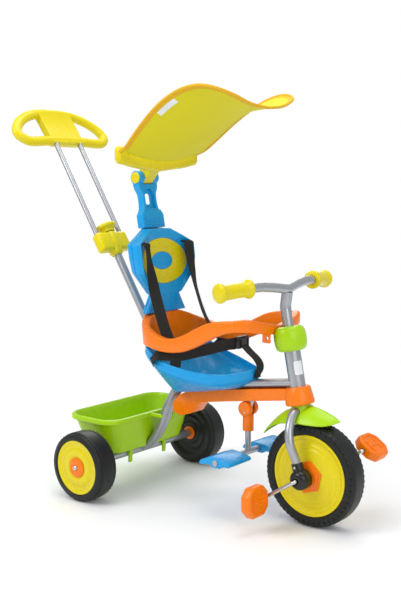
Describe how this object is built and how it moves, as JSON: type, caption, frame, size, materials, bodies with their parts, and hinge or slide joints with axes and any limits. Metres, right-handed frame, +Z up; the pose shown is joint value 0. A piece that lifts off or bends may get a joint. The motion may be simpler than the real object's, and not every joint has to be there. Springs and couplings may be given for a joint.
{
  "type": "children's tricycle",
  "caption": "Push-along child's tricycle: bucket seat with guard ring and harness, tilting canopy, rear push handle, basket, footrest and front pedals.",
  "frame": {"origin": "on the ground, under the middle of the overall box", "axes": "+X forwards in the direction of travel, +Y to the rider's left, +Z up"},
  "size_m": [1.0104, 0.504, 0.9993],
  "materials": {
    "silver_paint": "smooth silver-grey powder paint",
    "bright_steel": "plated steel",
    "yellow_plastic": "glossy moulded plastic",
    "orange_plastic": "glossy moulded plastic",
    "green_plastic": "glossy moulded plastic",
    "blue_plastic": "glossy moulded plastic",
    "black_plastic": "satin moulded plastic",
    "tyre_plastic": "blown plastic with a low sheen",
    "canopy_fabric": "thin coated polyester",
    "black_webbing": "woven flat webbing"
  },
  "bodies": {
    "frame": {"axle_nut_left": "bright_steel", "axle_nut_right": "bright_steel", "backrest_front": "blue_plastic", "backrest_inlay": "yellow_plastic", "backrest_rear": "blue_plastic", "basket": "green_plastic", "beam_cover": "orange_plastic", "canopy_pin": "yellow_plastic", "canopy_post": "blue_plastic", "crotch_strap": "black_webbing", "footrest_bracket": "bright_steel", "frame_tube_left": "silver_paint", "frame_tube_right": "silver_paint", "guard_ring": "orange_plastic", "handle_bracket": "yellow_plastic", "handle_loop": "yellow_plastic", "handle_lower_tube": "silver_paint", "handle_rod_left": "silver_paint", "handle_rod_right": "silver_paint", "handle_socket": "silver_paint", "head_tube": "silver_paint", "headset_collar": "green_plastic", "lap_strap": "black_webbing", "rear_axle_rod": "bright_steel", "rear_axle_tube": "silver_paint", "seat_shell": "blue_plastic", "shoulder_strap_left": "black_webbing", "shoulder_strap_right": "black_webbing"},
    "steering": {"handlebar": "silver_paint", "steering_stem": "silver_paint", "fork": "silver_paint", "grip_right": "yellow_plastic", "grip_left": "yellow_plastic", "hub_cover_right": "black_plastic", "hub_cover_left": "black_plastic", "mudguard": "green_plastic"},
    "front_wheel": {"front_tyre": "tyre_plastic", "front_disc_right": "yellow_plastic", "front_disc_left": "yellow_plastic", "hub_plate_right": "orange_plastic", "hub_plate_left": "orange_plastic", "crank": "bright_steel"},
    "pedal_right": {"pedal_right": "orange_plastic"},
    "pedal_left": {"pedal_left": "orange_plastic"},
    "rear_wheel_right": {"rear_tyre_right": "tyre_plastic", "rear_wheel_cover_right": "yellow_plastic", "rear_hub_right": "orange_plastic"},
    "rear_wheel_left": {"rear_tyre_left": "tyre_plastic", "rear_wheel_cover_left": "yellow_plastic", "rear_hub_left": "orange_plastic"},
    "canopy": {"canopy_bracket": "yellow_plastic", "canopy_hoop": "orange_plastic", "canopy_fabric": "canopy_fabric"},
    "handle_knob": {"handle_knob": "yellow_plastic"},
    "footrest": {"footrest_shell_right": "orange_plastic", "footrest_shell_left": "orange_plastic", "footrest_post": "silver_paint", "footrest_pad_right": "blue_plastic", "footrest_pad_left": "blue_plastic"}
  },
  "joints": [
    {"name": "steering_turn", "type": "hinge", "parent": "frame", "child": "steering", "pos_m": [0.31877, 0, 0.4002], "axis": [-0.1994, 0, 0.9799], "range_deg": [-40, 40]},
    {"name": "front_wheel_spin", "type": "hinge", "parent": "steering", "child": "front_wheel", "pos_m": [0.38517, 0, 0.12], "axis": [0, 1, 0], "continuous": true},
    {"name": "pedal_right_spin", "type": "hinge", "parent": "front_wheel", "child": "pedal_right", "pos_m": [0.31389, -0.134, 0.07371], "axis": [0, 1, 0], "continuous": true},
    {"name": "pedal_left_spin", "type": "hinge", "parent": "front_wheel", "child": "pedal_left", "pos_m": [0.45646, 0.134, 0.16629], "axis": [0, 1, 0], "continuous": true},
    {"name": "rear_wheel_right_spin", "type": "hinge", "parent": "frame", "child": "rear_wheel_right", "pos_m": [-0.15033, -0.215, 0.086], "axis": [0, 1, 0], "continuous": true},
    {"name": "rear_wheel_left_spin", "type": "hinge", "parent": "frame", "child": "rear_wheel_left", "pos_m": [-0.15033, 0.215, 0.086], "axis": [0, 1, 0], "continuous": true},
    {"name": "canopy_tilt", "type": "hinge", "parent": "frame", "child": "canopy", "pos_m": [-0.14033, 0, 0.795], "axis": [0, 1, 0], "range_deg": [-45, 15]},
    {"name": "handle_knob_turn", "type": "hinge", "parent": "frame", "child": "handle_knob", "pos_m": [-0.27458, 0, 0.64772], "axis": [-0.5342, 0, 0.8453], "range_deg": [-90, 90]},
    {"name": "footrest_fold", "type": "hinge", "parent": "frame", "child": "footrest", "pos_m": [0.19467, 0, 0.245], "axis": [0, 1, 0], "range_deg": [0, 70]}
  ]
}
